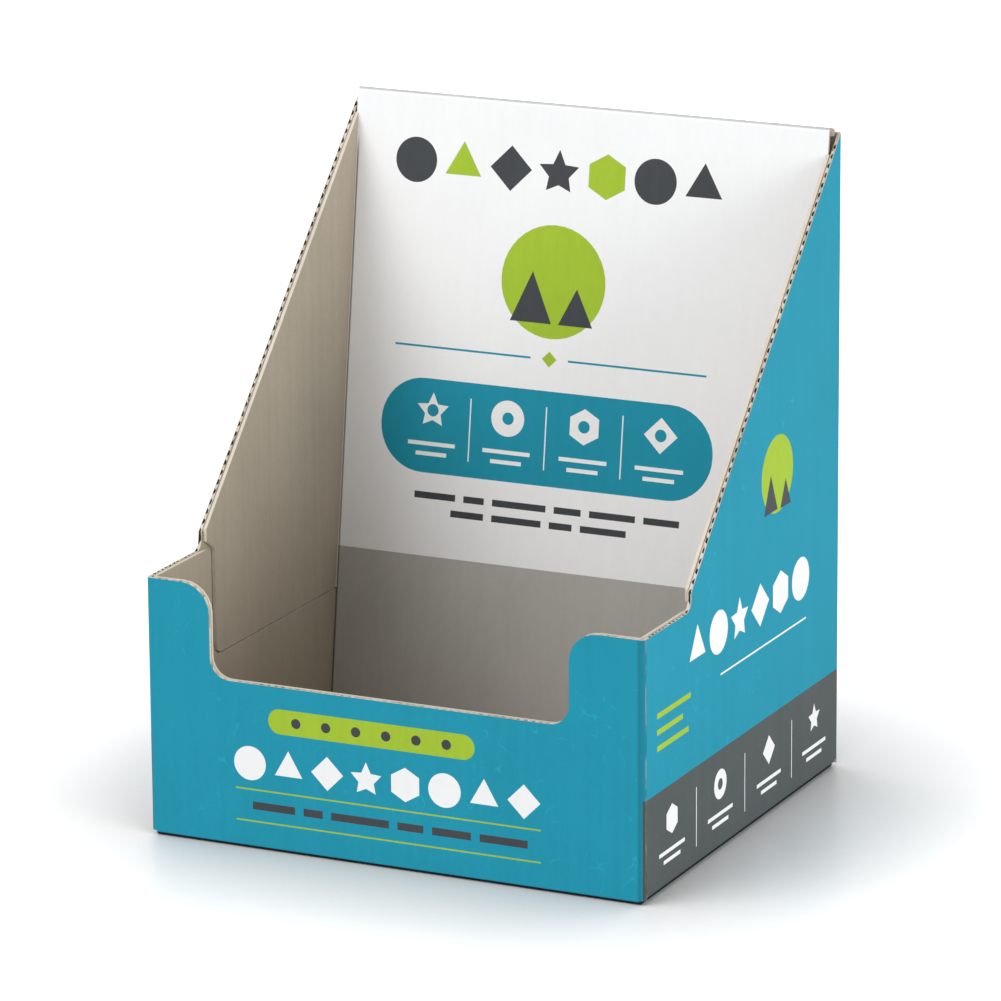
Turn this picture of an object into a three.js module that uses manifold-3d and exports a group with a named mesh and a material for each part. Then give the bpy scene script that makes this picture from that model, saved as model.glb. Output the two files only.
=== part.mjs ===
// Counter display box: a corrugated outer box with a low cut-out front and sloping sides,
// a liner round its front and sides, and a leaning header panel with two side wings.
// Millimetres, +Z up. X runs across the front, the front faces -Y, and the origin is at the
// middle of the underside.
import * as THREE from 'three';
import { mergeVertices } from 'three/addons/utils/BufferGeometryUtils.js';
import Module from 'manifold-3d';

// Outer box, outside sizes
const boxWidth = 230;
const boxDepth = 207;
const backHeight = 284;
const shoulderHeight = 113.8;

// Fluted board of the outer box
const boardThickness = 1.6;
const facingThickness = 0.3;
const flutePitch = 3.4;
const fluteMouthDepth = 6;
const fluteWideWidth = 2.1;
const fluteNarrowWidth = 1;

// Board of the two liners
const linerThickness = 1.5;

// Folds, clearances and glue
const foldInsideRadius = 0.5;
const fitGap = 0.3;
const layerGap = 0.4;
const foldRelief = 0.5;
const glueGap = 0.2;
const glueBite = 0.1;
const glueMargin = 4;

// Step in each side's top edge, where the shoulder meets the slope
const notchSetback = 47;
const notchRise = 7.7;
const notchInsideRadius = 5;
const notchTipRadius = 1.2;

// Cut-out in the front wall, between two posts; it sits slightly left of the middle
const postWidth = 31.9;
const cutoutOffset = -2.1;
const cutoutDrop = 40.8;
const cutoutLowerRadius = 9;
const cutoutUpperRadius = 13;

// Bottom flaps and the glued side seam
const majorFlapGap = 1;
const minorFlapGap = 24;
const seamTabWidth = 32;
const seamTabTopMargin = 9;

// Front liner's side panels: level with the shoulder, then stepping down to a low edge
const linerStepSetback = 5;
const linerStepRadius = 4.5;
const linerLowHeight = 64.7;
const linerLowRadius = 7;

// Header panel: its front face leans back from foot to crown, both measured from the back
const headerRise = 3.4;
const crownSetback = 8;
const footSetback = 47;
const footSideGap = 1.8;
const crownDrop = 1.8;
const tuckFlapLength = 42;
const tuckFlapSideGap = 4;
const tuckFlapRadius = 10;

// Header's side wings: they end flush with the slope and nest over the front liner's step
const wingStepGap = 2.4;
const wingSeamGap = 0.6;
const wingTipSetback = 1.2;
const wingTipRise = 2.8;
const wingShoulderDrop = 1.4;
const wingTipRadius = 1.5;
const wingShoulderRadius = 3.5;
const wingLowerRadius = 5.5;

// Surface colours
const printedTeal = 0x3298b2;
const rawBoard = 0x968c7f;
const printedWhite = 0xeff0f1;

// Values that follow from the sizes above
const halfWidth = boxWidth / 2;
const foldOutsideRadius = foldInsideRadius + boardThickness;
const linerFoldRadius = foldInsideRadius + linerThickness;
const notchHeight = shoulderHeight + notchRise;
const backInnerFace = boxDepth - boardThickness;
const seamTabBack = backInnerFace - glueGap;
const seamTabFront = seamTabBack - boardThickness;
const minorFlapHeight = boardThickness + layerGap;
const floorTop = minorFlapHeight + boardThickness;
const linerBase = floorTop + fitGap;
const linerHalf = halfWidth - boardThickness - fitGap;
const linerInnerHalf = linerHalf - linerThickness;
const linerStepY = notchSetback + linerStepSetback;
const wingLowHeight = linerLowHeight + wingSeamGap;
const headerHeight = backHeight + headerRise;
const slopeRun = (backInnerFace - notchSetback) / (backHeight - notchHeight);

// Header's front face in the side view, as (y, z)
const foot = new THREE.Vector2(boxDepth - footSetback, linerBase);
const crown = new THREE.Vector2(boxDepth - crownSetback, headerHeight);
const lean = (crown.x - foot.x) / (crown.y - foot.y);
const headerFaceY = (height) => foot.x + lean * (height - foot.y);
const headerDepthwise = linerThickness * Math.hypot(1, lean);
const wingTopHeight = notchHeight
  + (headerFaceY(notchHeight) - notchSetback) / (slopeRun - lean);

// Reach of a cutting solid past what it cuts, and the bite of two solids that join
const beyond = 20;
const overlap = 1;
const weldDistance = 1e-5;

const wasm = await Module();
wasm.setup();
const { Manifold, Mesh: SolidMesh } = wasm;

// Outline whose corners are [x, y] or, where they are rounded, [x, y, radius]
function outline(corners, arcSteps = 6) {
  const origin = new THREE.Vector2();
  const points = corners.flatMap(([x, y, radius = 0], i) => {
    const corner = new THREE.Vector2(x, y);
    if (radius === 0) return [corner];
    const [beforeX, beforeY] = corners.at(i - 1);
    const [afterX, afterY] = corners[(i + 1) % corners.length];
    const toBefore = new THREE.Vector2(beforeX - x, beforeY - y).normalize();
    const toAfter = new THREE.Vector2(afterX - x, afterY - y).normalize();
    const halfAngle = Math.acos(toBefore.dot(toAfter)) / 2;
    const middle = toBefore.clone().add(toAfter).normalize();
    const centre = corner.clone().addScaledVector(middle, radius / Math.sin(halfAngle));
    const tangent = radius / Math.tan(halfAngle);
    const start = corner.clone().addScaledVector(toBefore, tangent).sub(centre);
    const end = corner.clone().addScaledVector(toAfter, tangent).sub(centre);
    const sweep = Math.atan2(start.cross(end), start.dot(end));
    return Array.from({ length: arcSteps + 1 }, (_, step) => (
      start.clone().rotateAround(origin, (sweep * step) / arcSteps).add(centre)));
  });
  return new THREE.Shape(points);
}

// Closed solid from a geometry, with its shared corners merged
function solid(geometry) {
  geometry.deleteAttribute('normal');
  geometry.deleteAttribute('uv');
  const merged = mergeVertices(geometry, weldDistance);
  return new Manifold(new SolidMesh({
    numProp: 3,
    vertProperties: Float32Array.from(merged.attributes.position.array),
    triVerts: Uint32Array.from(merged.index.array),
  }));
}

function extruded(shape, length) {
  return new THREE.ExtrudeGeometry(shape, { depth: length, bevelEnabled: false });
}

// Plan outline (x, y) raised from one height to another
function raised(shape, from, to) {
  return solid(extruded(shape, to - from).translate(0, 0, from));
}

// Side outline (y, z) run across the box, between x = -half and x = half
function acrossWidth(shape, half) {
  const basis = new THREE.Matrix4().makeBasis(
    new THREE.Vector3(0, 1, 0),
    new THREE.Vector3(0, 0, 1),
    new THREE.Vector3(1, 0, 0),
  );
  return solid(extruded(shape, 2 * half).applyMatrix4(basis).translate(-half, 0, 0));
}

// Front outline (x, z) run along the depth
function alongDepth(shape, from, to) {
  const basis = new THREE.Matrix4().makeBasis(
    new THREE.Vector3(1, 0, 0),
    new THREE.Vector3(0, 0, 1),
    new THREE.Vector3(0, -1, 0),
  );
  return solid(extruded(shape, to - from).applyMatrix4(basis).translate(0, to, 0));
}

function block(low, high) {
  const size = high.map((value, axis) => value - low[axis]);
  const centre = high.map((value, axis) => (value + low[axis]) / 2);
  return solid(new THREE.BoxGeometry(...size).translate(...centre));
}

// Everything above the sides' top edge: shoulder, step and slope up to the back
function aboveSides() {
  const top = backHeight + beyond;
  return acrossWidth(outline([
    [-beyond, shoulderHeight],
    [notchSetback, shoulderHeight, notchInsideRadius],
    [notchSetback, notchHeight, notchTipRadius],
    [backInnerFace, backHeight],
    [boxDepth + beyond, backHeight],
    [boxDepth + beyond, top],
    [-beyond, top],
  ]), halfWidth + beyond);
}

// The cut-out, deep enough to pass through the front wall and the liner behind it
function frontCutout() {
  const left = -halfWidth + postWidth + cutoutOffset;
  const right = halfWidth - postWidth + cutoutOffset;
  const floor = shoulderHeight - cutoutDrop;
  const flare = cutoutUpperRadius + overlap;
  const top = shoulderHeight + beyond;
  return alongDepth(outline([
    [left - flare, shoulderHeight],
    [left, shoulderHeight, cutoutUpperRadius],
    [left, floor, cutoutLowerRadius],
    [right, floor, cutoutLowerRadius],
    [right, shoulderHeight, cutoutUpperRadius],
    [right + flare, shoulderHeight],
    [right + flare, top],
    [left - flare, top],
  ]), -beyond, notchSetback / 2);
}

// Plan of one flute's hollow, wide at the printed face and narrow at the inner face.
// The wall runs along the direction (alongX, alongY), with its inner side to the left of it.
function fluteOutline(x, y, alongX, alongY) {
  const inward = boardThickness / 2 - facingThickness;
  const wide = fluteWideWidth / 2;
  const narrow = fluteNarrowWidth / 2;
  const at = (along, across) => [
    x + alongX * along - alongY * across,
    y + alongY * along + alongX * across,
  ];
  return outline([
    at(-wide, -inward), at(wide, -inward), at(narrow, inward), at(-narrow, inward)]);
}

// Flute hollows down all four walls, to be kept only near the cut top edges
function fluteColumns() {
  const halfBoard = boardThickness / 2;
  const middleY = boxDepth / 2;
  const bottom = shoulderHeight - cutoutDrop - 2 * fluteMouthDepth;
  const top = backHeight + beyond;
  const row = (length, place) => {
    const usable = length - 2 * (foldOutsideRadius + flutePitch);
    const count = Math.floor(usable / flutePitch);
    return Array.from({ length: count + 1 }, (_, i) => (
      raised(place((i - count / 2) * flutePitch), bottom, top)));
  };
  return Manifold.union([
    ...row(boxWidth, (x) => fluteOutline(x, halfBoard, 1, 0)),
    ...row(boxWidth, (x) => fluteOutline(x, boxDepth - halfBoard, -1, 0)),
    ...row(boxDepth, (y) => fluteOutline(halfWidth - halfBoard, middleY + y, 0, 1)),
    ...row(boxDepth, (y) => fluteOutline(halfBoard - halfWidth, middleY + y, 0, -1)),
  ]);
}

// Four walls and the seam tab: one strip of board folded round, seen from above
function wallStrip() {
  const inner = halfWidth - boardThickness;
  const tabEnd = seamTabWidth - halfWidth;
  return raised(outline([
    [-halfWidth, boxDepth],
    [-halfWidth, backInnerFace],
    [inner, backInnerFace, foldInsideRadius],
    [inner, boardThickness, foldInsideRadius],
    [-inner, boardThickness, foldInsideRadius],
    [-inner, seamTabFront, foldInsideRadius],
    [tabEnd, seamTabFront],
    [tabEnd, seamTabBack],
    [-halfWidth, seamTabBack, foldOutsideRadius],
    [-halfWidth, 0, foldOutsideRadius],
    [halfWidth, 0, foldOutsideRadius],
    [halfWidth, boxDepth, foldOutsideRadius],
  ]), foldOutsideRadius, backHeight);
}

// Front and back flaps, which meet under the box; fromWall measures from the flap's own wall
function majorFlap(fromWall) {
  const top = foldOutsideRadius + overlap;
  const length = (boxDepth - majorFlapGap) / 2;
  return acrossWidth(outline([
    [fromWall(0), top],
    [fromWall(0), 0, foldOutsideRadius],
    [fromWall(length), 0],
    [fromWall(length), boardThickness],
    [fromWall(boardThickness), boardThickness, foldInsideRadius],
    [fromWall(boardThickness), top],
  ]), halfWidth - foldOutsideRadius - foldRelief);
}

// Side flaps, which lie on the front and back flaps; side is -1 or 1
function minorFlap(side) {
  const top = minorFlapHeight + foldOutsideRadius + overlap;
  return alongDepth(outline([
    [side * halfWidth, top],
    [side * halfWidth, minorFlapHeight, foldOutsideRadius],
    [side * (minorFlapGap / 2), minorFlapHeight],
    [side * (minorFlapGap / 2), floorTop],
    [side * (halfWidth - boardThickness), floorTop, foldInsideRadius],
    [side * (halfWidth - boardThickness), top],
  ]), foldOutsideRadius + foldRelief, seamTabFront - foldRelief);
}

function outerBox() {
  const above = aboveSides();
  const cutout = frontCutout();
  const nearCutEdges = above.add(cutout).translate(0, 0, -fluteMouthDepth);
  const reach = halfWidth + beyond;
  const sideInner = halfWidth - foldOutsideRadius;
  const sideBottom = minorFlapHeight + foldOutsideRadius;
  const tabLeft = foldOutsideRadius - halfWidth;
  const tabRight = seamTabWidth - halfWidth;
  const tabBottom = floorTop + foldRelief;
  const tabTop = backHeight - seamTabTopMargin;
  const tabFront = seamTabFront - overlap / 2;
  const tabBack = seamTabBack + glueGap / 2;
  const walls = wallStrip().subtract(Manifold.union([
    above,
    cutout,
    fluteColumns().intersect(nearCutEdges),
    block([-reach, foldOutsideRadius, -beyond], [-sideInner, tabFront, sideBottom]),
    block([sideInner, foldOutsideRadius, -beyond],
      [reach, boxDepth - foldOutsideRadius, sideBottom]),
    block([tabLeft, tabFront, -beyond], [tabRight + overlap, tabBack, tabBottom]),
    block([tabLeft, tabFront, tabTop], [tabRight + overlap, tabBack, backHeight + beyond]),
  ]));
  const glue = block(
    [tabLeft + glueMargin, seamTabBack - glueBite, tabBottom + glueMargin],
    [tabRight - glueMargin, backInnerFace + glueBite, tabTop - glueMargin],
  );
  return Manifold.union([
    walls,
    glue,
    majorFlap((y) => y),
    majorFlap((y) => boxDepth - y),
    minorFlap(-1),
    minorFlap(1),
  ]);
}

// One sheet folded round the inside of the front and both sides, low behind the shoulders
function frontLiner() {
  const front = boardThickness + fitGap;
  const sideEnd = seamTabFront - fitGap;
  const stepStart = linerStepY - linerStepRadius - overlap;
  const strip = raised(outline([
    [-linerHalf, sideEnd],
    [-linerHalf, front, linerFoldRadius],
    [linerHalf, front, linerFoldRadius],
    [linerHalf, sideEnd],
    [linerInnerHalf, sideEnd],
    [linerInnerHalf, front + linerThickness, foldInsideRadius],
    [-linerInnerHalf, front + linerThickness, foldInsideRadius],
    [-linerInnerHalf, sideEnd],
  ]), linerBase, shoulderHeight);
  const behindStep = acrossWidth(outline([
    [stepStart, shoulderHeight],
    [linerStepY, shoulderHeight, linerStepRadius],
    [linerStepY, linerLowHeight, linerLowRadius],
    [boxDepth + beyond, linerLowHeight],
    [boxDepth + beyond, shoulderHeight + beyond],
    [stepStart, shoulderHeight + beyond],
  ]), halfWidth);
  return strip.subtract(Manifold.union([frontCutout(), behindStep]));
}

// Header panel, folded over at its crown and tucked down against the back wall
function headerSheet(half) {
  const back = backInnerFace - fitGap;
  const foldHeight = headerHeight - crownDrop;
  const under = foldHeight - linerThickness;
  return acrossWidth(outline([
    [foot.x, foot.y],
    [crown.x, crown.y, linerFoldRadius],
    [back, foldHeight, linerFoldRadius],
    [back, foldHeight - tuckFlapLength],
    [back - linerThickness, foldHeight - tuckFlapLength],
    [back - linerThickness, under, foldInsideRadius],
    [headerFaceY(under) + headerDepthwise, under + crownDrop / 2, foldInsideRadius],
    [foot.x + headerDepthwise, foot.y],
  ]), half);
}

// What is cut off beside the tuck flap, which clears the seam tab
function besideTuckFlap() {
  const flapHalf = halfWidth - seamTabWidth - tuckFlapSideGap;
  const flapEnd = headerHeight - crownDrop - tuckFlapLength;
  const flapTop = headerHeight - crownDrop - 2 * linerThickness;
  const reach = halfWidth + beyond;
  return alongDepth(outline([
    [-reach, flapEnd - beyond],
    [reach, flapEnd - beyond],
    [reach, flapTop],
    [flapHalf, flapTop],
    [flapHalf, flapEnd, tuckFlapRadius],
    [-flapHalf, flapEnd, tuckFlapRadius],
    [-flapHalf, flapTop],
    [-reach, flapTop],
  ]), backInnerFace - fitGap - linerThickness - glueBite, boxDepth);
}

// Both wings and their folds into the header: a U in plan, sheared to the header's lean
function wingsAndFolds() {
  const face = headerFaceY(0);
  const back = face + headerDepthwise;
  const plan = outline([
    [-linerHalf, -boxDepth],
    [-linerInnerHalf, -boxDepth],
    [-linerInnerHalf, face, foldInsideRadius],
    [linerInnerHalf, face, foldInsideRadius],
    [linerInnerHalf, -boxDepth],
    [linerHalf, -boxDepth],
    [linerHalf, back, linerFoldRadius],
    [-linerHalf, back, linerFoldRadius],
  ]);
  const shear = new THREE.Matrix4().makeShear(0, 0, 0, 0, 0, lean);
  const height = wingTopHeight - wingLowHeight;
  const leaning = extruded(plan, height).translate(0, 0, wingLowHeight).applyMatrix4(shear);
  const tipY = notchSetback + wingTipSetback;
  const frontY = linerStepY + wingStepGap;
  const endY = boxDepth + beyond;
  const side = acrossWidth(outline([
    [tipY, notchHeight + wingTipSetback / slopeRun],
    [tipY, shoulderHeight + wingTipRise, wingTipRadius],
    [frontY, shoulderHeight - wingShoulderDrop, wingShoulderRadius],
    [frontY, wingLowHeight, wingLowerRadius],
    [endY, wingLowHeight],
    [endY, backHeight + (endY - backInnerFace) / slopeRun],
  ]), halfWidth);
  return solid(leaning).intersect(side);
}

function headerLiner() {
  const reach = halfWidth + beyond;
  const slab = (from, to) => block([-reach, -beyond, from], [reach, boxDepth + beyond, to]);
  const bottom = headerSheet(linerInnerHalf - footSideGap)
    .intersect(slab(-beyond, wingLowHeight));
  const middle = headerSheet(linerHalf - linerFoldRadius)
    .intersect(slab(wingLowHeight - overlap, wingTopHeight + overlap));
  const top = headerSheet(linerHalf - linerThickness / 2)
    .intersect(slab(wingTopHeight, headerHeight + beyond));
  return Manifold.union([bottom, middle, top, wingsAndFolds()]).subtract(besideTuckFlap());
}

function piece(name, shape, color, roughness) {
  const { vertProperties, triVerts } = shape.getMesh();
  const geometry = new THREE.BufferGeometry();
  geometry.setAttribute('position', new THREE.BufferAttribute(vertProperties, 3));
  geometry.setIndex(new THREE.BufferAttribute(triVerts, 1));
  const material = new THREE.MeshStandardMaterial({ color, roughness, metalness: 0 });
  const mesh = new THREE.Mesh(geometry, material);
  mesh.name = name;
  return mesh;
}

const group = new THREE.Group();
group.position.y = -boxDepth / 2;
group.add(
  piece('outer_box', outerBox(), printedTeal, 0.6),
  piece('front_liner', frontLiner(), rawBoard, 0.85),
  piece('header_liner', headerLiner(), printedWhite, 0.65),
);

export default group;
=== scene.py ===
# Counter display box: a fluted outer box, a liner round its front and a leaning header panel.
# X runs across the front, the front faces -Y and z is up. Lengths in the scene are metres.
import math

import bmesh
import bpy
from mathutils import Matrix, Vector


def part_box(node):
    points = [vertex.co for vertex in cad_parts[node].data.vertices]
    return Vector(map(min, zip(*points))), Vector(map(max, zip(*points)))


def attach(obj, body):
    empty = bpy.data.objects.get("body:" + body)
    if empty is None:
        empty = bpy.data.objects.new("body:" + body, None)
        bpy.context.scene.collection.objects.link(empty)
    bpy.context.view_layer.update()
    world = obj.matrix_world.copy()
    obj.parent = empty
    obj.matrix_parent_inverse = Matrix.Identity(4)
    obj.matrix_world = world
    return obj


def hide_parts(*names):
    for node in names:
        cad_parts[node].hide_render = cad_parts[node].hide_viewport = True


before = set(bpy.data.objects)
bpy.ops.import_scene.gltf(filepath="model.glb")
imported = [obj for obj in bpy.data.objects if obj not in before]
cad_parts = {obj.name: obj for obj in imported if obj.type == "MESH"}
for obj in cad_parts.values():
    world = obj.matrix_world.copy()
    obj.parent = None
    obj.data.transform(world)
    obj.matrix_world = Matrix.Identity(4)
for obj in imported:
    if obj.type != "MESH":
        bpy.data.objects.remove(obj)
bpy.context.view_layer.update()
mm = 0.001
boxLow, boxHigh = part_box("outer_box")
halfWide, halfDeep = (boxHigh.x - boxLow.x) / 2, (boxHigh.y - boxLow.y) / 2


def millimetres(**sizes):
    return {name: size * mm for name, size in sizes.items()}


# Helpers for modelling in object and edit mode

def pick(*pieces):
    bpy.ops.object.select_all(action="DESELECT")
    for piece in pieces:
        piece.select_set(True)
    bpy.context.view_layer.objects.active = pieces[0]


def edit(piece):
    pick(piece)
    bpy.ops.object.mode_set(mode="EDIT")


def done():
    bpy.ops.object.mode_set(mode="OBJECT")


def choose(piece, kind, test):                      # in edit mode, selects what passes the test
    bpy.ops.mesh.select_mode(type=kind)
    bpy.ops.mesh.select_all(action="DESELECT")
    mesh = bmesh.from_edit_mesh(piece.data)
    parts = mesh.verts if kind == "VERT" else mesh.faces
    for part in [p for p in parts if test(p)]:
        part.select_set(True)
    bmesh.update_edit_mesh(piece.data)


def middle(face):
    return sum((v.co for v in face.verts), Vector()) / len(face.verts)


def shift(*move):
    bpy.ops.transform.translate(value=move)


def modify(piece, kind, **settings):                # adds a modifier and applies it
    pick(piece)
    modifier = piece.modifiers.new(kind.title(), kind)
    for name, value in settings.items():
        setattr(modifier, name, value)
    bpy.ops.object.modifier_apply(modifier=modifier.name)


def twin(piece, name):
    other = piece.copy()
    other.data = piece.data.copy()
    other.name = name
    bpy.context.scene.collection.objects.link(other)
    return other


def join(name, *pieces):
    pick(*pieces)
    bpy.ops.object.join()
    pieces[0].name = name
    return pieces[0]


def paint(piece, *materials):
    piece.data.materials.clear()
    for material in materials:
        piece.data.materials.append(material)


def cut(piece, cutter):                             # cut faces take the cutter's material
    modify(piece, "BOOLEAN", operation="DIFFERENCE", object=cutter, solver="EXACT",
           material_mode="TRANSFER")


# Shader maths: a wire wraps one socket, and Python's operators add the Math nodes

class Wire:
    def __init__(self, socket):
        self.socket = socket

    def add(self, kind, settings=None, inputs=None, output=0):
        made = self.socket.id_data.nodes.new(kind)
        for name, value in (settings or {}).items():
            setattr(made, name, value)
        for name, value in (inputs or {}).items():
            if isinstance(value, Wire):
                self.socket.id_data.links.new(value.socket, made.inputs[name])
            else:
                made.inputs[name].default_value = value
        return Wire(made.outputs[output])

    def maths(self, operation, *values, clamp=False):
        settings = {"operation": operation, "use_clamp": clamp}
        return self.add("ShaderNodeMath", settings, dict(enumerate(values)))

    def __add__(self, other):
        return self.maths("ADD", self, other)

    __radd__ = __add__

    def __sub__(self, other):
        return self.maths("SUBTRACT", self, other)

    def __rsub__(self, other):
        return self.maths("SUBTRACT", other, self)

    def __mul__(self, other):
        return self.maths("MULTIPLY", self, other)

    __rmul__ = __mul__

    def __truediv__(self, other):
        return self.maths("DIVIDE", self, other)

    def __rtruediv__(self, other):
        return self.maths("DIVIDE", other, self)

    def unsigned(self):
        return self.maths("ABSOLUTE", self)

    def below(self, edge, soft):                    # 1 under the edge, 0 over it
        return self.maths("ADD", (edge - self) / soft, 0.5, clamp=True)

    def above(self, edge, soft):                    # 0 under the edge, 1 over it
        return (edge - self).below(0, soft)

    def axis(self, number):
        return self.add("ShaderNodeSeparateXYZ", inputs={"Vector": self}, output=number)

    def noise(self, scale, detail=2, rough=0.5):    # from 0 to 1, about 0.5
        return self.add("ShaderNodeTexNoise", inputs={
            "Vector": self, "Scale": scale, "Detail": detail, "Roughness": rough})

    def drawnOut(self, share):                      # coordinates that make a pattern long in z
        return self.add("ShaderNodeMapping", inputs={"Vector": self, "Scale": (1, 1, share)})

    def blend(self, first, second):                 # mixes two colours by this factor
        made = self.add("ShaderNodeMix", {"data_type": "RGBA"}, {"Factor": self}, 2)
        node = made.socket.node
        for spot, colour in ((6, first), (7, second)):
            if isinstance(colour, Wire):
                self.socket.id_data.links.new(colour.socket, node.inputs[spot])
            else:
                node.inputs[spot].default_value = colour
        return made

    def feed(self, socket):
        self.socket.id_data.links.new(self.socket, socket)


def tone(red, green, blue, share=1.0):              # screen colour, 0 to 255, as a linear one
    def linear(value):
        value = min(value * share / 255, 1)
        return value / 12.92 if value <= 0.04045 else ((value + 0.055) / 1.055) ** 2.4
    return (linear(red), linear(green), linear(blue), 1)


def surface(name):                                  # a new material: shader, and object coordinates
    material = bpy.data.materials.new(name)
    material.use_nodes = True
    shader = material.node_tree.nodes["Principled BSDF"]
    spot = material.node_tree.nodes.new("ShaderNodeTexCoord")
    return material, shader, Wire(spot.outputs["Object"])


print("finishes")
paper = {
    "mottleScale": 28, "mottle": 0.35,              # cloudy patches, a few centimetres wide
    "fibreScale": 520, "fibre": 0.3,                # short fibres
    "fibreLength": 0.4, "fibreRough": 0.65,
    "streakScale": 230, "streak": 0.25,             # upright streaks of the flutes showing through
    "streakLength": 0.02,
    "spread": 3,                                    # pulls the shades apart, from dark to light
    "fleckScale": 1400, "fleckFrom": 0.71, "fleckShade": 0.72,
    "gloss": 0.06, "roughChange": 0.15,
    "bump": 0.12, "bumpHeight": 0.05 * mm, "bumpFibre": 0.6, "bumpStreak": 0.4,
}
cornerShadeLine = {                                      # painted shade: the dark line where the header meets the wings
    "from": 110.55 * mm, "soft": 0.2 * mm, "top": 262 * mm, "fade": 8 * mm,
    "share": 0.75, "colour": (84, 80, 74),
}
scratches = {                                       # hairlines, broken up and only here and there
    "scale": 75, "width": 0.005, "soft": 0.003, "share": 0.13, "light": 1.5,
    "patchScale": 14, "patchFrom": 0.45, "patchSoft": 0.12,
    "breakScale": 190, "breakFrom": 0.55, "breakSoft": 0.1,
}
foldShadeAndWear = {                                     # the front right fold: a band of painted shade on its rounding, with a rubbed line
    "wide": 3.2 * mm, "wideSoft": 1.2 * mm, "deep": 1.1 * mm, "deepSoft": 0.6 * mm, "shade": 0.88,
    "lineIn": 1.55 * mm, "lineWide": 0.35 * mm, "lineSoft": 0.4 * mm,
    "reach": 2 * mm, "reachSoft": 0.5 * mm, "dark": 0.45, "darkColour": (40, 66, 68),
    "pale": 0.5, "paleColour": (178, 178, 146),
    "speckScale": 300, "speckLength": 0.3, "speckFrom": 0.5, "speckSoft": 0.2,
}


def wearAndFoldShade(place, base, colour):
    line = (place.noise(scratches["scale"], 1) - 0.5).unsigned()
    line = line.below(scratches["width"], scratches["soft"])
    patch = place.noise(scratches["patchScale"], 2).above(scratches["patchFrom"], scratches["patchSoft"])
    broken = place.noise(scratches["breakScale"], 1).above(scratches["breakFrom"], scratches["breakSoft"])
    base = (line * patch * broken * scratches["share"]).blend(
        base, tone(*colour, share=scratches["light"]))
    fold = foldShadeAndWear
    toRight = halfWide - place.axis(0)
    toFront = place.axis(1) + halfDeep
    # painted shade: the front of the rounded front right fold is darker
    shaded = toRight.below(fold["wide"], fold["wideSoft"]) * toFront.below(fold["deep"], fold["deepSoft"])
    base = shaded.blend(base, tone(*colour, share=fold["shade"]))
    rubbed = (toFront - fold["lineIn"]).unsigned().below(fold["lineWide"], fold["lineSoft"])
    rubbed = rubbed * toRight.below(fold["reach"], fold["reachSoft"])
    specks = place.drawnOut(fold["speckLength"]).noise(fold["speckScale"], 2)
    specks = specks.above(fold["speckFrom"], fold["speckSoft"])
    base = (rubbed * fold["dark"]).blend(base, tone(*fold["darkColour"]))
    return (rubbed * specks * fold["pale"]).blend(base, tone(*fold["paleColour"]))


def paperFinish(name, colour, contrast, rough, flecks=0.0, wornAndShaded=False, shadeCorners=False):
    material, shader, place = surface(name)
    mottle = place.noise(paper["mottleScale"], 3)
    fibre = place.drawnOut(paper["fibreLength"]).noise(paper["fibreScale"], 4, paper["fibreRough"])
    streak = place.drawnOut(paper["streakLength"]).noise(paper["streakScale"], 2)
    shade = mottle * paper["mottle"] + fibre * paper["fibre"] + streak * paper["streak"]
    shade = shade / (paper["mottle"] + paper["fibre"] + paper["streak"])
    shade = shade.maths("ADD", (shade - 0.5) * paper["spread"], 0.5, clamp=True)
    base = shade.blend(tone(*colour, share=1 - contrast), tone(*colour, share=1 + contrast))
    if flecks:
        fleck = place.noise(paper["fleckScale"], 1)
        fleck = fleck.maths("GREATER_THAN", fleck, paper["fleckFrom"])
        base = (fleck * flecks).blend(base, tone(*colour, share=paper["fleckShade"]))
    if wornAndShaded:
        base = wearAndFoldShade(place, base, colour)
    # painted shade in the corners where the header meets the wings
    if shadeCorners:
        line = place.axis(0).unsigned().above(cornerShadeLine["from"], cornerShadeLine["soft"])
        line = line * place.axis(2).below(cornerShadeLine["top"], cornerShadeLine["fade"])
        base = (line * cornerShadeLine["share"]).blend(base, tone(*cornerShadeLine["colour"]))
    base.feed(shader.inputs["Base Color"])
    (rough + (fibre - 0.5) * paper["roughChange"]).feed(shader.inputs["Roughness"])
    shader.inputs["Specular IOR Level"].default_value = paper["gloss"]
    height = fibre * paper["bumpFibre"] + streak * paper["bumpStreak"]
    place.add("ShaderNodeBump", inputs={
        "Height": height, "Strength": paper["bump"], "Distance": paper["bumpHeight"],
    }).feed(shader.inputs["Normal"])
    return material


# Each finish has its colour, how much that varies and how rough it is

teal, charcoal, lime = (37, 147, 172), (84, 90, 90), (163, 193, 58)
tealPrint = paperFinish("teal_print", teal, 0.025, 0.55, wornAndShaded=True)
charcoalPrint = paperFinish("charcoal_print", charcoal, 0.04, 0.55, wornAndShaded=True)
whitePrint = paperFinish("white_print", (243, 244, 245), 0.01, 0.5, shadeCorners=True)
crownShadeWhite = paperFinish("crown_painted_shade", (205, 205, 205), 0.05, 0.6)
shadedFold = paperFinish("shaded_fold", (26, 34, 37), 0.1, 0.7)
rawPaper = paperFinish("raw_paper", (174, 163, 147), 0.035, 0.85, flecks=0.35)
greyPaper = paperFinish("grey_paper", (177, 174, 170), 0.03, 0.8, flecks=0.2, shadeCorners=True)
cutPaper = paperFinish("cut_paper", (217, 208, 193), 0.05, 0.9)
fluteMouthShade = paperFinish("flute_mouth_shade", (92, 78, 62), 0.1, 0.95)
pressedPaper = paperFinish("pressed_paper", (190, 172, 146), 0.1, 0.95)
whiteInk = paperFinish("white_ink", (243, 244, 244), 0.01, 0.5)
limeInk = paperFinish("lime_ink", lime, 0.03, 0.5)
charcoalInk = paperFinish("charcoal_ink", (70, 73, 76), 0.05, 0.5)
tealInk = paperFinish("teal_ink", teal, 0.025, 0.5)


# Sheets of board: a merged copy of each CAD node, its faces painted by where they lie

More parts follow.
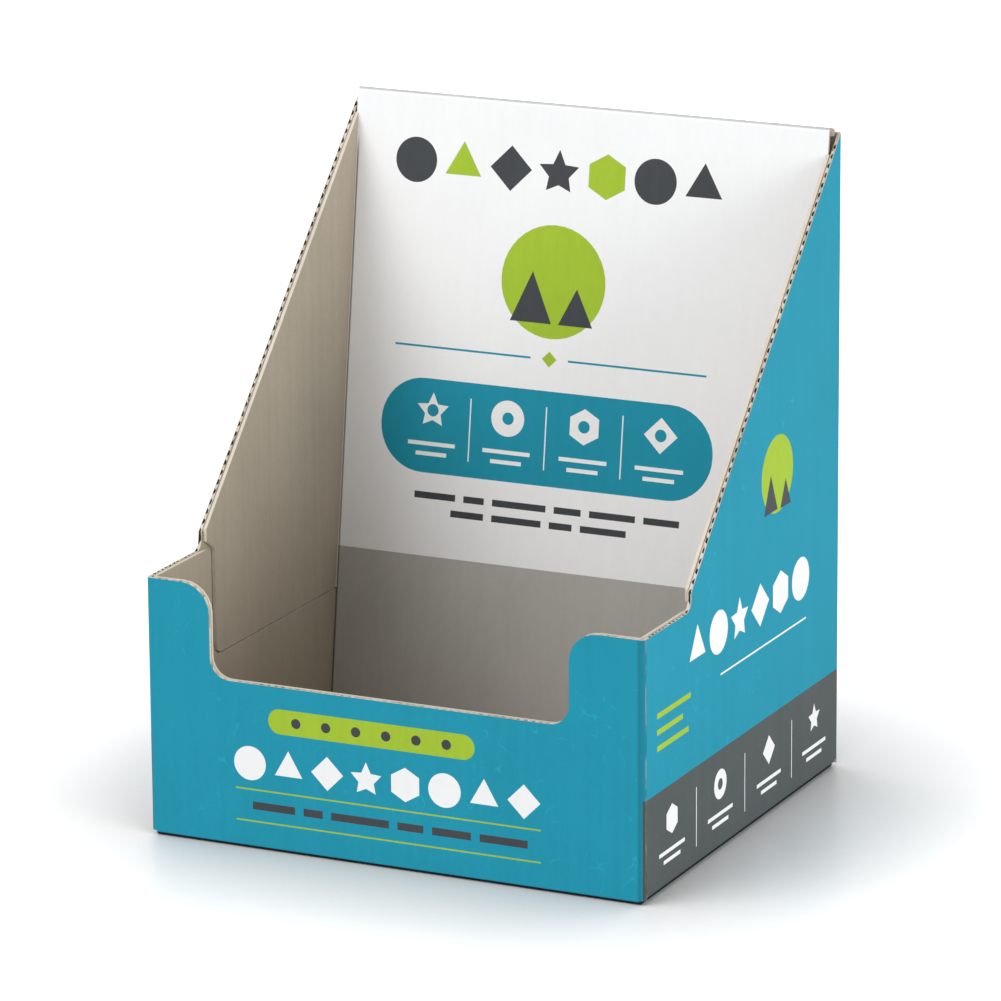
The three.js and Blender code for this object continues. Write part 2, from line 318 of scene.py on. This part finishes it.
merge = {"distance": 0.002 * mm, "flatAngle": math.radians(0.5)}
facing = {                                          # how much of a face's normal points that way
    "down": 0.1, "straightOut": 0.99, "sideways": 0.6, "upward": 0.3,
    "wing": 0.9, "ahead": 0.3, "crease": 0.7, "crown": 0.2,
}


def sheetCopy(node, name):
    piece = twin(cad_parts[node], name)
    for key in [k for k in piece.keys() if k.startswith("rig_")]:
        del piece[key]
    piece.parent = None
    edit(piece)
    bpy.ops.mesh.select_all(action="SELECT")
    bpy.ops.mesh.remove_doubles(threshold=merge["distance"])
    bpy.ops.mesh.dissolve_limited(angle_limit=merge["flatAngle"])
    done()
    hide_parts(node)
    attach(piece, "root")
    return piece


def inset(point):                                   # how deep a point lies under the box's outside
    x = abs(point.x) - (halfWide - outerBox["foldRadius"])
    y = abs(point.y) - (halfDeep - outerBox["foldRadius"])
    return outerBox["foldRadius"] - math.hypot(max(x, 0), max(y, 0)) - min(max(x, y), 0)


def colourFaces(piece, paperAt, *materials):        # least and most are the insets of a face's corners
    paint(piece, *materials)
    for face in piece.data.polygons:
        depths = [inset(piece.data.vertices[v].co) for v in face.vertices]
        chosen = paperAt(face.center, face.normal, min(depths), max(depths))
        face.material_index = materials.index(chosen)


def levelLine(piece, height, test):                 # splits the faces that pass the test at a height
    edit(piece)
    choose(piece, "FACE", test)
    bpy.ops.mesh.bisect(plane_co=(0, 0, height), plane_no=(0, 0, 1))
    done()


# Print: flat shapes are modelled at the origin, turned onto a wall and pressed a hair into it.
# A shape's place is its x, y, width and height, and a row's is its x, y, step and size, all in
# millimetres from the middle of the wall's foot.

corners = {"disc": 40, "triangle": 3, "lozenge": 4, "hexagon": 6, "star": 10}
starTurn, starInside = math.radians(36), 0.5        # from a point to a notch, and how far in that lies
pillRound, pillSteps = 0.49, 10
press = millimetres(depth=0.04, above=0.5)


def shape(kind, x, y, wide, high, ink):
    if kind in ("bar", "pill"):
        bpy.ops.mesh.primitive_plane_add(size=1)
    else:
        bpy.ops.mesh.primitive_circle_add(vertices=corners[kind], radius=0.5, fill_type="NGON")
    made = bpy.context.active_object
    if kind == "star":
        edit(made)
        choose(made, "VERT", lambda v: round(math.atan2(v.co.x, v.co.y) / starTurn) % 2)
        bpy.ops.transform.resize(value=(starInside, starInside, 1))
        done()
    made.scale = (wide * mm, high * mm, 1)
    made.location = (x * mm, y * mm, 0)
    bpy.ops.object.transform_apply(location=True, rotation=True, scale=True)
    if kind == "pill":
        edit(made)
        bpy.ops.mesh.select_all(action="SELECT")
        bpy.ops.mesh.bevel(affect="VERTICES", offset=min(wide, high) * pillRound * mm,
                           segments=pillSteps)
        done()
    paint(made, ink)
    return made


def row(kinds, x, y, step, size, *inks):            # shapes in a line, with the inks in turn
    return [shape(kind, x + step * spot, y, size, size, inks[spot % len(inks)])
            for spot, kind in enumerate(kinds)]


def dashes(x, y, widths, gap, high, ink):
    made = []
    for wide in widths:
        made.append(shape("bar", x + wide / 2, y, wide, high, ink))
        x += wide + gap
    return made


def printOn(piece, place, *levels):                 # each level is pressed in deeper than the last
    for level, shapes in enumerate(levels):
        stamp = join("stamp", *shapes)
        stamp.data.transform(Matrix.Translation((0, 0, -press["depth"] * (level + 1))))
        modify(stamp, "SOLIDIFY", thickness=press["above"], offset=1)
        stamp.data.transform(place)
        cut(piece, stamp)
        bpy.data.objects.remove(stamp)


print("outer box")
outerBox = millimetres(
    foldRadius=2.1, thickness=1.6, foldShade=1.5,
    flapTop=4.2, bandTop=45.1,                      # the bottom flaps, and the charcoal band
    skin=0.15, rawFrom=1.45,                        # insets of the outer face and the inner one
    mouthFrom=0.25, mouthTo=1.35, ragged=0.16)      # insets of the flutes' mouths, and their unevenness


def boxPaper(spot, normal, least, most):
    if spot.z < outerBox["flapTop"] and abs(normal.z) > facing["down"]:
        if normal.z > 0:
            return rawPaper
        if spot.z < outerBox["foldShade"] and abs(spot.y) > halfDeep - outerBox["foldRadius"]:
            return shadedFold
        return charcoalPrint if abs(spot.x) > halfWide - outerBox["foldRadius"] else tealPrint
    if spot.z < outerBox["thickness"] and max(abs(normal.x), abs(normal.y)) > facing["straightOut"]:
        return shadedFold
    if most < outerBox["skin"]:
        inBand = abs(normal.x) > facing["sideways"] and spot.z < outerBox["bandTop"]
        return charcoalPrint if inBand else tealPrint
    if least > outerBox["rawFrom"]:
        return rawPaper
    inMouth = least > outerBox["mouthFrom"] and most < outerBox["mouthTo"]
    # painted shade: the flutes' mouths are dark, except on the front wall
    if inMouth and abs(normal.z) < facing["upward"]:
        onFrontWall = spot.y < outerBox["thickness"] - halfDeep
        return pressedPaper if onFrontWall else fluteMouthShade
    return cutPaper


def onOuterSide(face):
    return abs(face.normal.x) > facing["sideways"] and inset(middle(face)) < outerBox["skin"]


box = sheetCopy("outer_box", "outer_box_board")
levelLine(box, outerBox["bandTop"], onOuterSide)
colourFaces(box, boxPaper, tealPrint, rawPaper, cutPaper, fluteMouthShade, charcoalPrint, pressedPaper,
            shadedFold)

frontPrint = {
    "pill": (-10, 58, 96, 11), "dots": (-45, 58, 14, 4.4), "dotCount": 6,
    "frieze": (-67, 38, 18.2, 15),
    "kinds": ["disc", "triangle", "lozenge", "star", "hexagon", "disc", "triangle", "lozenge"],
    "rules": [(-3, 26.5, 142, 0.7), (-3, 12.5, 142, 0.7)],
    "dashes": (-66, 19.5), "dashWidths": [20, 9, 27, 12, 18, 22], "dashGap": 4, "dashHigh": 3.4,
}
upright = Matrix.Rotation(math.pi / 2, 4, "X")
onFront = Matrix.Translation((0, -halfDeep, 0)) @ upright
printOn(
    box, onFront,
    [shape("pill", *frontPrint["pill"], limeInk),
     *row(frontPrint["kinds"], *frontPrint["frieze"], whiteInk),
     *[shape("bar", *rule, limeInk) for rule in frontPrint["rules"]],
     *dashes(*frontPrint["dashes"], frontPrint["dashWidths"], frontPrint["dashGap"],
             frontPrint["dashHigh"], charcoalInk)],
    row(["disc"] * frontPrint["dotCount"], *frontPrint["dots"], charcoalInk))

sidePrint = {                                       # x runs from the front to the back on the right side
    "frieze": (-50, 97, 22, 19),
    "kinds": ["triangle", "disc", "star", "lozenge", "hexagon", "disc"],
    "disc": (34, 150, 34, 34), "peaks": [(27, 140, 17, 22), (43, 138, 13, 16)],
    "rule": (20, 78, 92, 0.8),
    "stripes": [(-74, 78, 34, 2.4), (-78, 71, 26, 2.4), (-75, 64, 32, 2.4)],
    "icons": {"hexagon": -76, "disc": -26, "lozenge": 26, "star": 76},
    "iconHeight": 30, "iconSize": 13, "hole": (-26, 30, 5, 5),
    "captions": [(17, 26), (13, 17)], "captionHigh": 1.7,
    "dividers": [(-51, 23, 0.6, 26), (0, 23, 0.6, 26), (51, 23, 0.6, 26)],
}


def sideShape(side, kind, place, ink):
    x, y, wide, high = place
    return shape(kind, side * x, y, wide, high, ink)


for side in (1, -1):                                # the right side, and its mirror image on the left
    onSide = (Matrix.Rotation(side * math.pi / 2, 4, "Z")
              @ Matrix.Translation((0, -halfWide, 0)) @ upright)
    x, y, step, size = sidePrint["frieze"]
    icons = sidePrint["icons"]
    iconAt = (sidePrint["iconHeight"], sidePrint["iconSize"], sidePrint["iconSize"])
    printOn(
        box, onSide,
        [*row(sidePrint["kinds"], side * x, y, side * step, size, whiteInk),
         sideShape(side, "disc", sidePrint["disc"], limeInk),
         sideShape(side, "bar", sidePrint["rule"], whiteInk),
         *[sideShape(side, "bar", place, limeInk) for place in sidePrint["stripes"]],
         *[sideShape(side, kind, (icons[kind], *iconAt), whiteInk) for kind in icons],
         *[sideShape(side, "bar", (icons[kind], at, wide, sidePrint["captionHigh"]), whiteInk)
           for kind in icons for at, wide in sidePrint["captions"]],
         *[sideShape(side, "bar", place, whiteInk) for place in sidePrint["dividers"]]],
        [*[sideShape(side, "triangle", place, charcoalInk) for place in sidePrint["peaks"]],
         sideShape(side, "disc", sidePrint["hole"], charcoalPrint)])


def onMouth(vertex):
    return (outerBox["mouthFrom"] < inset(vertex.co) < outerBox["mouthTo"]
            and vertex.co.z > outerBox["bandTop"])


edgePapers = (cutPaper, fluteMouthShade, pressedPaper)
edit(box)                                           # the mouths of the flutes are a little uneven
choose(box, "FACE", lambda face: box.data.materials[face.material_index] in edgePapers)
bpy.ops.mesh.quads_convert_to_tris(quad_method="BEAUTY", ngon_method="BEAUTY")
choose(box, "VERT", onMouth)
bpy.ops.transform.vertex_random(offset=outerBox["ragged"], uniform=1, seed=4)
done()


print("liners")
liner = millimetres(outside=2.3, inside=3)          # a cut edge runs from one inset past the other
header = millimetres(
    footFrom=109, footTo=110.6, footTop=65.6, footSpread=1.4,
    wingFrom=111.3, wingEdge=-47.5, wingTop=117, wingGap=1.1,
    whiteFrom=84, crownFrom=283, creaseFrom=286,    # heights of the white print, the crown and its top, painted grey as shade
    printX=-13, footY=56.5, footZ=3.9)
headerSlope = 0.13757                               # how far the panel leans back as it rises
lean = math.atan(headerSlope)
ahead = Vector((0, -math.cos(lean), math.sin(lean)))


def linerPaper(spot, normal, least, most):
    return cutPaper if least < liner["outside"] and most > liner["inside"] else rawPaper


def headerPaper(spot, normal, least, most):
    if abs(spot.x) > header["wingFrom"]:
        return rawPaper if abs(normal.x) > facing["wing"] else cutPaper
    # painted shade: the top of the crown is a greyer white
    if spot.z > header["creaseFrom"] and normal.z > facing["crease"]:
        return crownShadeWhite
    if normal.dot(ahead) > facing["ahead"]:
        return whitePrint if spot.z > header["whiteFrom"] else greyPaper
    if spot.z > header["crownFrom"] and normal.z + max(normal.y, 0) > facing["crown"]:
        return whitePrint
    return rawPaper if normal.dot(ahead) < -facing["ahead"] else cutPaper


def onFoot(vertex, side):
    return header["footFrom"] < side * vertex.co.x < header["footTo"] and vertex.co.z < header["footTop"]


def onWingEdge(vertex, side):
    return (side * vertex.co.x > header["wingFrom"] and vertex.co.y < header["wingEdge"]
            and vertex.co.z < header["wingTop"])


frontLiner = sheetCopy("front_liner", "front_liner_board")
colourFaces(frontLiner, linerPaper, rawPaper, cutPaper)

headerLiner = sheetCopy("header_liner", "header_liner_board")
for side in (1, -1):                                # the foot reaches the sides, the wings stand clear
    edit(headerLiner)
    choose(headerLiner, "VERT", lambda vertex: onFoot(vertex, side))
    shift(side * header["footSpread"], 0, 0)
    choose(headerLiner, "VERT", lambda vertex: onWingEdge(vertex, side))
    shift(0, header["wingGap"], 0)
    done()
levelLine(headerLiner, header["whiteFrom"], lambda face: face.normal.dot(ahead) > facing["ahead"])
colourFaces(headerLiner, headerPaper, rawPaper, cutPaper, whitePrint, greyPaper, crownShadeWhite)

headerPrint = {
    "frieze": (-69, 256, 23, 20),
    "kinds": ["disc", "triangle", "lozenge", "star", "hexagon", "disc", "triangle"],
    "disc": (0, 208, 50, 50), "peaks": [(-10, 197, 23, 30), (11.5, 195, 19, 22)],
    "rules": [(-42, 174, 66, 0.9), (42, 174, 66, 0.9)], "lozenge": (0, 174, 7, 7),
    "pill": (0, 139, 160, 42),
    "icons": {"star": -55, "disc": -18.5, "hexagon": 18.5, "lozenge": 55},
    "iconHeight": 146, "iconSize": 16, "holes": (-55, 146, 110 / 3, 5.5),
    "captions": [(131, 23), (126.5, 15)], "captionHigh": 1.8,
    "dividers": [(-36.7, 139, 0.6, 28), (0, 139, 0.6, 28), (36.7, 139, 0.6, 28)],
    "dashRows": [(-62, 108, [20, 10, 26, 13, 22, 17]), (-44, 101, [16, 24, 11, 22])],
    "dashGap": 4, "dashHigh": 3,
}
icons = headerPrint["icons"]
iconAt = (headerPrint["iconHeight"], headerPrint["iconSize"], headerPrint["iconSize"])
onHeader = (Matrix.Translation((header["printX"], header["footY"], header["footZ"]))
            @ Matrix.Rotation(math.pi / 2 - lean, 4, "X"))
printOn(
    headerLiner, onHeader,
    [*row(headerPrint["kinds"], *headerPrint["frieze"], charcoalInk, limeInk, charcoalInk),
     shape("disc", *headerPrint["disc"], limeInk),
     *[shape("bar", *rule, tealInk) for rule in headerPrint["rules"]],
     shape("lozenge", *headerPrint["lozenge"], limeInk),
     shape("pill", *headerPrint["pill"], tealInk),
     *[dash for line in headerPrint["dashRows"]
       for dash in dashes(*line, headerPrint["dashGap"], headerPrint["dashHigh"], charcoalInk)]],
    [*[shape("triangle", *place, charcoalInk) for place in headerPrint["peaks"]],
     *[shape(kind, icons[kind], *iconAt, whiteInk) for kind in icons],
     *[shape("bar", icons[kind], at, wide, headerPrint["captionHigh"], whiteInk)
       for kind in icons for at, wide in headerPrint["captions"]],
     *[shape("bar", *place, whiteInk) for place in headerPrint["dividers"]]],
    row(["disc"] * len(icons), *headerPrint["holes"], tealInk))

smoothAngle, flatFrom = math.radians(32), 0.9999
for piece in (box, frontLiner, headerLiner):        # only the rounded folds and corners are smooth
    pick(piece)
    bpy.ops.object.shade_smooth_by_angle(angle=smoothAngle)
    for face in piece.data.polygons:
        flat = max(max(abs(n) for n in face.normal), abs(face.normal.dot(ahead))) > flatFrom
        face.use_smooth = not flat


print("floor, lights and camera")
stage = {
    "floorSize": 12.0, "floorShade": (210, 210, 210), "floorRough": 0.35, "floorGloss": 0.25,
    "lift": 0.57, "contact": 0.13, "contactSamples": 8,     # fades out towards the box by occlusion: a painted contact shadow
    "farLift": 0.45, "fadeFrom": 0.14, "fadeOver": 0.6,     # fades in away from it
    "sky": 0.6,
}
lamps = {                                           # both are aimed at the middle of the box
    "key": {"place": (-1.2, -1.65, 1.5), "size": (1.7, 1.7), "power": 32},
    "fill": {"place": (1.9, -0.4, 0.35), "size": (1.2, 0.7), "power": 19},
}
lampTarget = (0, 0, 0.12)


def lookedAt(wire):                                 # 1 for the eye, and in gloss or through glass
    camera, glossy, through = (wire.add("ShaderNodeLightPath", output=name) for name in (
        "Is Camera Ray", "Is Glossy Ray", "Is Transmission Ray"))
    return wire.maths("MAXIMUM", wire.maths("MAXIMUM", camera, glossy), through)


def floorFinish():                                  # the lift is seen, but lights nothing
    material, shader, place = surface("pale_floor")
    shader.inputs["Base Color"].default_value = tone(*stage["floorShade"])
    shader.inputs["Roughness"].default_value = stage["floorRough"]
    shader.inputs["Specular IOR Level"].default_value = stage["floorGloss"]
    shader.inputs["Emission Strength"].default_value = 1
    away = place.add("ShaderNodeVectorMath", {"operation": "LENGTH"}, {0: place}, "Value")
    far = away.maths("DIVIDE", away - stage["fadeFrom"], stage["fadeOver"], clamp=True)
    # painted contact shadow: the seen lift is dimmed by occlusion near the box
    near = place.add("ShaderNodeAmbientOcclusion", {"samples": stage["contactSamples"]},
                     {"Distance": stage["contact"]}, "AO")
    glow = near * near * near * stage["lift"] + far * stage["farLift"]
    (lookedAt(place) * glow).feed(shader.inputs["Emission Color"])
    return material


bpy.ops.mesh.primitive_plane_add(size=stage["floorSize"])
floor = bpy.context.active_object
floor.name = "floor"
paint(floor, floorFinish())

world = bpy.data.worlds.new("studio")
bpy.context.scene.world = world
world.use_nodes = True
sky = world.node_tree.nodes["Background"]
sky.inputs["Color"].default_value = (1, 1, 1, 1)
seen = lookedAt(Wire(sky.outputs["Background"]))
(stage["sky"] + seen * (1 - stage["sky"])).feed(sky.inputs["Strength"])


def addLamp(name, place, size, power):
    bpy.ops.object.light_add(type="AREA", location=place)
    light = bpy.context.active_object
    light.name = name
    light.data.shape = "RECTANGLE"
    light.data.size, light.data.size_y = size
    light.data.energy = power
    aim = Vector(lampTarget) - Vector(place)
    light.rotation_euler = aim.to_track_quat("-Z", "Y").to_euler()


for name, lamp in lamps.items():
    addLamp(name, **lamp)

# The camera stands where the photograph was taken from. Angles are in degrees, the lens in
# millimetres.
shot = {
    "azimuth": 25.562, "elevation": 15.376, "roll": -0.4386, "distance": 2.63742,
    "target": (0, 0, 0.1265), "right": 0.0010802, "up": 0.0072569,
    "lens": 222.12, "sensor": 36, "near": 0.1, "far": 60,
}


def placeCamera():
    azimuth, elevation, roll = (math.radians(shot[k]) for k in ("azimuth", "elevation", "roll"))
    back = Vector((math.sin(azimuth) * math.cos(elevation),
                   -math.cos(azimuth) * math.cos(elevation), math.sin(elevation)))
    level = Vector((math.cos(azimuth), math.sin(azimuth), 0))
    upward = back.cross(level)
    right = math.cos(roll) * level + math.sin(roll) * upward
    up = math.cos(roll) * upward - math.sin(roll) * level
    bpy.ops.object.camera_add()
    camera = bpy.context.active_object
    camera.data.lens, camera.data.sensor_width = shot["lens"], shot["sensor"]
    camera.data.clip_start, camera.data.clip_end = shot["near"], shot["far"]
    turn = Matrix((right, up, back)).transposed().to_4x4()
    spot = Vector(shot["target"]) + back * shot["distance"] + right * shot["right"] + up * shot["up"]
    camera.matrix_world = Matrix.Translation(spot) @ turn
    bpy.context.scene.camera = camera


placeCamera()
bpy.context.scene.view_settings.view_transform = "Standard"
